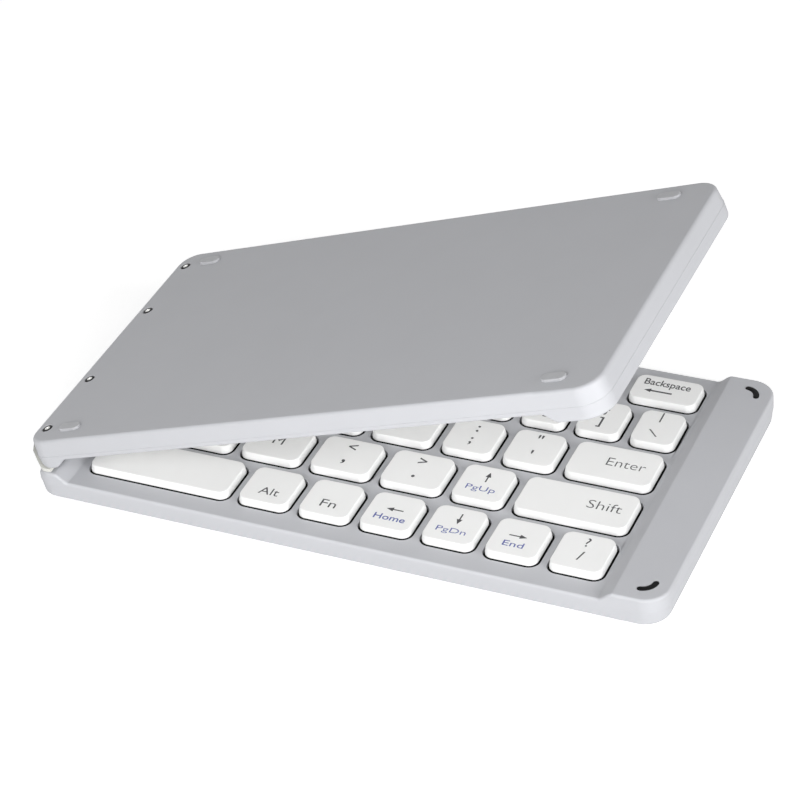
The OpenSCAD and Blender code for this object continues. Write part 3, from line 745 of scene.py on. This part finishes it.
# what is added to each side of a stroke in place of legend["bold"]
strokes = {
    "Enter": -0.05, "Shift": -0.05, "Tab": -0.02, "Caps": -0.02, "Esc": -0.02, "Ctrl": -0.02,
    "Alt": -0.01, "Fn": -0.01, "Del": -0.01, "PgDn": -0.012, "PgUp": -0.012,
    "End": 0.005, "Home": 0.025, "\\": -0.06, "?": 0.0,
}
arrowMarks = {  # direction, length, x and y of its middle
    "Backspace": (180, 6.8, -1.7, -1.2),
    "End": (0, 4.2, -0.2, 0.5),
    "PgDn": (270, 3.6, 0.35, 2.1),
    "PgUp": (90, 3.5, 0.1, 2.2),
    "Home": (180, 4.1, 0.3, 0.7),
}
arrowShape = {
    "head": 0.75, "stretch": (1.5, 1.05, 1),  # a triangle's radius, and how it is stretched
    "headInset": 1.1, "shaftInset": 1.5,
    "stroke": 0.17, "fullLength": 4.5,  # half of the shaft's width, more if it is longer
}
# symbols that are moved (x, y) and scaled, and those with a width of their own
symbolPlaces = {
    "'": (0, -1.6, 1.2), "\"": (0, -0.4, 1.15), ",": (-0.1, 0.5, 1.5), ".": (-0.1, 0.1, 1.6),
    ";": (0, 0.1, 1.15), ":": (0, -0.1, 1.15), "|": (-0.4, 1.1, 0.93), "\\": (-0.5, -0.6, 0.85),
}
symbolWidths = {"\\": 2.7}


def makeText(words, size, width=None):
    bpy.ops.object.text_add(location=(0, 0, 0))
    text = bpy.context.object
    text.data.body = words
    text.data.size = size
    text.data.align_x = 'CENTER'
    text.data.resolution_u = 3
    text.data.extrude = legend["ink"]
    if "M" not in words:    # its narrow corners would fill up
        text.data.offset = strokes.get(words, legend["bold"])
    bpy.ops.object.convert(target='MESH')
    text = bpy.context.object
    if width:
        activate(text)
        text.scale = (width / text.dimensions.x, 1, 1)
        applyTransform()
    return text


def makeArrow(direction, length):
    # a thin shaft with a narrow solid head
    ink = legend["ink"]
    bpy.ops.mesh.primitive_cylinder_add(
        vertices=3, radius=arrowShape["head"], depth=2 * ink, location=(0, 0, 0),
        rotation=(0, 0, math.radians(-90)))
    head = bpy.context.object
    applyTransform()
    head.scale = arrowShape["stretch"]
    head.location = (length / 2 - arrowShape["headInset"], 0, 0)
    applyTransform()
    stroke = arrowShape["stroke"] * max(1, length / arrowShape["fullLength"])
    shaft = addBlock("shaft", (-length / 2, -stroke, -ink),
                     (length / 2 - arrowShape["shaftInset"], stroke, ink))
    arrow = joined([head, shaft], "arrow")
    arrow.rotation_euler = (0, 0, math.radians(direction))
    applyTransform()
    return arrow


def makeLegend(words, width, depth):
    # all the marks of one key, about the key's middle
    marks = []
    shallower = key["depth"] - depth

    def addMark(mark, x, y, look="ink"):
        moveBy(mark, x, y)
        marks.append(dress(mark, look))

    if words in arrowMarks:
        direction, length, x, y = arrowMarks[words]
        addMark(makeArrow(direction, length), x, y)
    if " " in words:
        for sign, line, draw in zip(words.split(), ("upper", "lower"), legend["draw"]):
            x, y, scale = symbolPlaces.get(sign, (0, 0, 1))
            addMark(makeText(sign, legend["size"] * scale, symbolWidths.get(sign)),
                    x, legend[line] + draw * shallower + y)
    elif words in longWords:
        mark = makeText(words, legend["size"], longWords[words])
        edge = max(v.co.x for v in mark.data.vertices)
        isLong = width > legend["longKey"]
        addMark(mark, width / 2 - legend["edge"] - edge if isLong else 0, legend["letter"])
    elif words in wordPlaces:
        long, tall, x, base = wordPlaces[words]
        addMark(makeText(words, tall / legend["capital"], long), x, base,
                "navyInk" if words in navyWords else "ink")
    else:
        addMark(makeText(words, legend["size"]), 0, legend["letter"])
    return joined(marks, "legend")


def placeKeys(keys, place, nodeOf):
    groups = {}
    for row, spot, low, front, width, depth, words in keys:
        middle = (low + width / 2, front + depth / 2)
        cap = copyOf(makeCap(width, depth), "cap")
        moveBy(cap, *middle)
        caps, marks = groups.setdefault(nodeOf(row, spot), ([], []))
        caps.append(cap)
        if words:
            mark = makeLegend(words, width, depth)
            moveBy(mark, *middle, key["top"])
            marks.append(mark)
    for node, (caps, marks) in groups.items():
        name = node.replace("key_", "").replace("keys_", "")
        settle(joined(caps, "cap_" + name), place, node, [node])
        if marks:
            settle(joined(marks, "legend_" + name), place, node)


def rightNode(row, spot):
    own = rightNodes[row]
    return own[spot] if spot < len(own) else f"right_keys_row_{row + 1}"


placeKeys(rightKeys, basePlace, rightNode)
placeKeys(leftKeys, lidPlace, lambda row, spot: f"left_keys_row_{row + 1}")
for form in capForms.values():
    bpy.data.objects.remove(form)
print("keys and legends placed")


# Bumpers, feet and screws

bumper = {
    "arc": 3.0, "radius": 0.7, "flat": 0.6, "place": 6.8, "proud": 0.25,
    "short": 0.1,           # radians that each end stops short of the quarter turn
    "spare": 0.08,          # of its groove
    "vertices": 20,
}
foot = {"length": 5.9, "width": 2.8, "edge": 5.5, "inset": 10.8, "end": 12.0, "round": 0.28}
screw = {
    "inset": 3.5, "places": (6.25, 26.5, 56.0, 76.25), "vertices": 32,
    "head": 1.2, "height": 0.5, "round": 0.12,
    "hole": 1.26, "rim": 0.2,
    # both rings are painted near black, as painted shade of the gap round the head
    "edge": 0.14, "ring": 0.42,         # widths of the dark rings round the bright middle
    "bright": 0.22, "sink": 0.16, "taper": 0.8,  # the driver recess
    "shank": 0.6, "length": 1.3,
}


def roundOff(direction, radius):
    # grows the picked face into a round end
    steps = 5
    for i in range(1, steps):
        near, far = (math.radians(90 * k / steps) for k in (i - 1, i))
        extrude(Vector(direction) * radius * (math.sin(far) - math.sin(near)))
        bpy.ops.transform.resize(value=[math.cos(far) / math.cos(near)] * 3)


def makeBumper(length, side, spare):
    # a round strip bent nearly a quarter turn, let into the rail's corner
    radius = bumper["radius"] + spare
    turn = side * (math.pi / 2 - 2 * bumper["short"])
    bpy.ops.mesh.primitive_circle_add(
        vertices=bumper["vertices"], radius=radius, fill_type='NGON',
        location=(bumper["arc"], 0, 0), rotation=(math.pi / 2, 0, 0))
    strip = bpy.context.object
    applyTransform()
    startEdit(strip)
    bpy.ops.mesh.select_all(action='SELECT')
    roundOff((0, -side, 0), radius)
    pick(strip, 'FACE', lambda f: all(abs(v.co.y) < touch for v in f.verts))
    bpy.ops.mesh.spin(steps=bumper["vertices"], angle=-turn, center=(0, 0, 0), axis=(0, 0, 1))
    roundOff((-math.sin(turn) * side, math.cos(turn) * side, 0), radius)
    bpy.ops.mesh.select_all(action='SELECT')
    bpy.ops.mesh.remove_doubles(threshold=touch)
    bpy.ops.mesh.normals_make_consistent(inside=False)
    stopEdit()
    strip.scale = (1, 1, bumper["flat"])
    strip.rotation_euler = (0, 0, side * bumper["short"])
    strip.location = (
        length - bumper["place"],
        bumper["place"] if side < 0 else half["depth"] - bumper["place"],
        casing["railHeight"] + bumper["proud"] - bumper["radius"] * bumper["flat"])
    applyTransform()
    return strip


def makeFeet(length, drop):
    pads, bottom = [], -drop - half["footHeight"]
    sideX, sideY = foot["length"] / 2, foot["width"] / 2
    for x in (foot["inset"], length - foot["end"]):
        for y in (foot["edge"], half["depth"] - foot["edge"]):
            pad = addRoundBlock("pad", (x - sideX, y - sideY, bottom),
                                (x + sideX, y + sideY, -drop), sideY - hair, segments=10)
            startEdit(pad)
            pick(pad, 'EDGE', atHeight(bottom))
            bevel(foot["round"], segments=4)
            stopEdit()
            pads.append(dress(pad, "foot"))
    return joined(pads, "feet")


def makeScrews(drop):
    heads = []
    for y in screw["places"]:
        bpy.ops.mesh.primitive_cylinder_add(
            vertices=screw["vertices"], radius=screw["head"], depth=screw["height"],
            location=(screw["inset"], y, -drop + screw["height"] / 2))
        head = bpy.context.object
        applyTransform()
        dress(head, "screwShadeSteel", "screw")
        startEdit(head)
        # a sunk, bright driver recess in a head with a rounded rim; the head round it is painted
        # near black, as painted shade of the gap round the head
        pick(head, 'FACE', lambda f: f.normal.z < -0.9)
        bpy.ops.mesh.inset(thickness=screw["edge"])
        bpy.ops.mesh.inset(thickness=screw["ring"])
        head.active_material_index = 1
        bpy.ops.object.material_slot_assign()
        bpy.ops.mesh.inset(thickness=screw["bright"])
        extrude((0, 0, screw["sink"]))
        bpy.ops.transform.resize(value=(screw["taper"], screw["taper"], 1))
        pick(head, 'EDGE', lambda e: atHeight(-drop)(e) and sharpness(e) > square
             and all(math.hypot(v.co.x - screw["inset"], v.co.y - y) > screw["head"] - hair
                     for v in e.verts))
        bevel(screw["round"], segments=3)
        # the shank
        pick(head, 'FACE', lambda f: f.normal.z > 0.9)
        bpy.ops.mesh.inset(thickness=screw["head"] - screw["shank"])
        extrude((0, 0, screw["length"]))
        stopEdit()
        heads.append(head)
    return joined(heads, "screws")


def makeScrewHoles(drop):
    # each with a flared rim
    holes, rim = [], screw["rim"]
    for y in screw["places"]:
        bpy.ops.mesh.primitive_cylinder_add(
            vertices=screw["vertices"], radius=screw["hole"], depth=2 * screw["height"],
            location=(screw["inset"], y, -drop))
        hole = bpy.context.object
        applyTransform()
        startEdit(hole)
        cutAcross((0, 0, rim - drop), (0, 0, 1))
        pick(hole, 'VERT', lambda v: v.co.z < -drop)
        flare = 1 + (rim + screw["height"]) / screw["hole"]
        bpy.ops.transform.resize(value=(flare, flare, 1), center_override=(screw["inset"], y, 0))
        stopEdit()
        holes.append(hole)
    return joined(holes, "screwHoles")


for which, length, drop, place, deck, shell in (
        ("base", half["baseLength"], half["baseDrop"], basePlace, baseDeck, baseShell),
        ("lid", half["lidLength"], half["lidDrop"], turnedPlace, lidDeck, lidShell)):
    grooves = [makeBumper(length, side, bumper["spare"]) for side in (-1, 1)]
    combine(deck, joined(grooves, "grooves"))
    strips = joined([makeBumper(length, side, 0) for side in (-1, 1)], which + "_bumper_strips")
    settle(dress(strips, "rubber"), place, which, [which + "_bumpers"])
    pads = makeFeet(length, drop)
    pads.name = which + "_foot_pads"
    settle(pads, place, which, [which + "_feet"])
    combine(shell, makeScrewHoles(drop))
    heads = makeScrews(drop)
    heads.name = which + "_screw_heads"
    settle(heads, place, which, [which + "_screws"])
print("bumpers, feet and screws placed")


# Back wall of the base: charging port, power switch and status light

opening = {"depth": 2}      # how far the back wall is cut
port = {
    "place": 145.1, "width": 7.6, "height": 2.5, "low": -3.4, "depth": 5.2, "wall": 0.35,
    "inset": 0.1, "gap": 0.05,
    "tongue": 0.6, "tongueSide": 1.4, "tongueBack": 0.7, "tongueRound": 0.15,
}
knob = {
    "place": 121.7, "width": 4.0, "height": 1.1, "level": -2.75, "travel": 2.5,
    "gap": 0.3, "slotRound": 0.5, "front": 80.5, "inset": 0.2, "round": 0.2, "edge": 0.08,
    "ribs": 5, "ribWidth": 0.24, "ribDepth": 0.22,
}
light = {
    "place": 132.45, "radius": 0.7, "gap": 0.05, "length": 1.4, "inset": 0.2,
    "dome": ((0.12, 0.09), (0.18, 0.07), (0.2, 0.03)),  # inset and rise of each ring
}


def makePort():
    # a steel shell with round ends, and a tongue in its mouth
    low, high = port["place"] - port["width"] / 2, port["place"] + port["width"] / 2
    bottom, top = port["low"], port["low"] + port["height"]
    rear = half["depth"] - port["inset"]
    front, wall, side = rear - port["depth"], port["wall"], port["tongueSide"]
    shell = addDepthBlock("charging_port_shell", (low, front, bottom), (high, rear, top),
                          port["height"] / 2 - hair, segments=8)
    mouth = addDepthBlock(
        "mouth", (low + wall, front + 2 * wall, bottom + wall),
        (high - wall, rear + beyond, top - wall), port["height"] / 2 - wall - hair, segments=8)
    combine(shell, mouth)
    middle = (bottom + top) / 2
    tongue = addDepthBlock(
        "charging_port_tongue",
        (low + side, front + 2 * wall - port["gap"], middle - port["tongue"] / 2),
        (high - side, rear - port["tongueBack"], middle + port["tongue"] / 2),
        port["tongueRound"], segments=3)
    return dress(shell, "steel"), dress(tongue, "switch")


def makeOpenings():
    # what the back wall is cut by
    front, rear = half["depth"] - opening["depth"], half["depth"] + beyond
    side = port["width"] / 2 + port["gap"]
    mouth = addDepthBlock(
        "portMouth", (port["place"] - side, front, port["low"] - port["gap"]),
        (port["place"] + side, rear, port["low"] + port["height"] + port["gap"]),
        port["height"] / 2, segments=8)
    side, tall = knob["width"] / 2 + knob["gap"], knob["height"] / 2 + knob["gap"]
    slot = addDepthBlock(
        "switchSlot", (knob["place"] - side, front, knob["level"] - tall),
        (knob["place"] + side + knob["travel"], rear, knob["level"] + tall),
        knob["slotRound"], segments=6)
    radius = light["radius"] + light["gap"]
    bore = addDepthBlock(
        "lightBore", (light["place"] - radius, front, knob["level"] - radius),
        (light["place"] + radius, rear, knob["level"] + radius), radius - hair, segments=8)
    return joined([mouth, slot, bore], "openings")


def makeKnob():
    rear, low = half["depth"] - knob["inset"], knob["place"] - knob["width"] / 2
    bottom, top = knob["level"] - knob["height"] / 2, knob["level"] + knob["height"] / 2
    body = addDepthBlock("power_switch_knob", (low, knob["front"], bottom),
                         (low + knob["width"], rear, top), knob["round"], segments=4)
    startEdit(body)
    pick(body, 'EDGE', lambda e: all(abs(v.co.y - rear) < touch for v in e.verts))
    bevel(knob["edge"], segments=2)
    stopEdit()
    grooves, side = [], knob["ribWidth"] / 2
    for i in range(knob["ribs"]):
        x = low + knob["width"] * (i + 1) / (knob["ribs"] + 1)
        grooves.append(addBlock("groove", (x - side, rear - knob["ribDepth"], bottom - beyond),
                                (x + side, rear + beyond, top + beyond)))
    combine(body, joined(grooves, "grooves"))
    return dress(body, "switch")


def makeLight():
    # a clear plug with a domed end
    bpy.ops.mesh.primitive_cylinder_add(
        vertices=32, radius=light["radius"], depth=light["length"], rotation=(math.pi / 2, 0, 0),
        location=(light["place"], half["depth"] - light["inset"] - light["length"] / 2,
                  knob["level"]))
    plug = bpy.context.object
    plug.name = "status_light_lens"
    applyTransform()
    startEdit(plug)
    pick(plug, 'FACE', lambda f: f.normal.y > 0.9)
    for inset, rise in light["dome"]:
        bpy.ops.mesh.inset(thickness=inset)
        bpy.ops.transform.translate(value=(0, rise, 0))
    stopEdit()
    return dress(plug, "light")


for part in (baseShell, baseDeck):
    combine(part, makeOpenings())
portShell, portTongue = makePort()
settle(portShell, basePlace, "base", ["charging_port"])
settle(portTongue, basePlace, "base")
settle(makeKnob(), basePlace, "power_switch", ["power_switch"])
settle(makeLight(), basePlace, "base", ["status_light"])
print("back wall fitted")


# Hinge: three links, and crescent caps round the lid's knuckles

# start is the angle under the rod, in degrees, and taper the steps until full thickness
capRim = {"thickness": 0.75, "low": 0.1, "high": 9.15, "steps": 22, "start": -18.0, "taper": 7}
linkPlate = {"edge": 0.25, "segments": 12}


def makeLinks():
    links = []
    radius, x = casing["linkRadius"], hinge["rodInset"]
    for middle, width in zip(casing["linkPlaces"], casing["linkWidths"]):
        link = addDepthBlock(
            "link", (x - radius, middle - width / 2, -hinge["rodDrop"] - radius),
            (x + radius, middle + width / 2, hinge["linkLength"] - hinge["rodDrop"] + radius),
            radius - hair / 2, linkPlate["segments"])
        startEdit(link)
        pick(link, 'EDGE', lambda e: abs(e.verts[0].co.y - e.verts[1].co.y) < touch
             and sharpness(e) > square)
        bevel(linkPlate["edge"], segments=3)
        stopEdit()
        links.append(link)
    return dress(joined(links, "hinge_link_plates"), "bracket")


def makeCrescents():
    # each is thin where it leaves the end wall and of even thickness round the knuckle
    crescents = []
    inner, rim, steps = casing["knuckle"], capRim["thickness"], capRim["steps"]
    start = math.radians(capRim["start"])
    width = capRim["high"] - capRim["low"]
    for front in (capRim["low"], half["depth"] - capRim["high"]):
        bpy.ops.mesh.primitive_plane_add(size=1, location=(0, 0, 0))
        band = bpy.context.object
        band.scale = (rim, width, 1)
        band.location = (-inner - rim / 2, front + width / 2, 0)
        applyTransform()
        band.rotation_euler = (0, start, 0)
        applyTransform()
        startEdit(band)
        bpy.ops.mesh.select_all(action='SELECT')
        bpy.ops.mesh.spin(
            steps=steps, angle=start - math.pi / 2, center=(0, 0, 0), axis=(0, 1, 0))
        bpy.ops.mesh.select_all(action='SELECT')
        bpy.ops.mesh.normals_make_consistent(inside=False)
        for step in range(steps + 1):
            turn = start + (math.pi / 2 - start) * step / steps
            outward = Vector((-math.cos(turn), 0, math.sin(turn)))
            # under the rod the inner side lies on the flat end wall
            inside = inner / math.cos(turn) if turn < 0 else inner
            grown = min(1, (step + 0.5) / capRim["taper"])
            outside = inside + rim * math.sin(math.pi / 2 * grown)
            for isInner, reach in ((True, inside - inner), (False, outside - inner - rim)):
                pick(band, 'VERT', lambda v: abs(math.atan2(v.co.z, -v.co.x) - turn) < hair
                     and (math.hypot(v.co.x, v.co.z) < inner + rim / 2) == isInner)
                bpy.ops.transform.translate(value=outward * reach)
        stopEdit()
        band.location = (hinge["rodInset"], 0, -hinge["rodDrop"])
        applyTransform()
        # it goes round the casing's corner, and runs out where it starts
        corner, reach, tall = casing["hingeCorner"], 20, 10
        middle = corner if front < corner else half["depth"] - corner
        plan = addRoundBlock("plan", (-rim, middle - corner - rim, -tall),
                             (reach, middle + corner + rim, tall), corner + rim - hair,
                             segments=16)
        startEdit(plan)
        cutAcross((0, 0, -hinge["rodDrop"]), (0, 0, 1))
        outset = -hinge["rodDrop"] + (inner + rim) * math.sin(start)
        cutAcross((0, 0, outset), (0, 0, 1))
        pick(plan, 'VERT', lambda v: v.co.z < outset + hair)
        shrunk = [(span + 5 * hair) / (span + rim) for span in (reach, corner)]
        bpy.ops.transform.resize(value=(*shrunk, 1), center_override=(reach, middle, 0))
        stopEdit()
        combine(band, plan, 'INTERSECT')
        crescents.append(band)
    return dress(joined(crescents, "hinge_cap_crescents"), "cream")


settle(makeLinks(), basePlace, "hinge_links", ["hinge_links"])
settle(makeCrescents(), turnedPlace, "lid", ["lid_hinge_caps"])
print("hinge placed")

for which, place, deck, shell in (
        ("base", basePlace, baseDeck, baseShell), ("lid", turnedPlace, lidDeck, lidShell)):
    settle(dress(deck, "deck"), place, which, [which + "_deck"])
    settle(dress(shell, "casing"), place, which, [which + "_back_shell"])
print("casings placed")
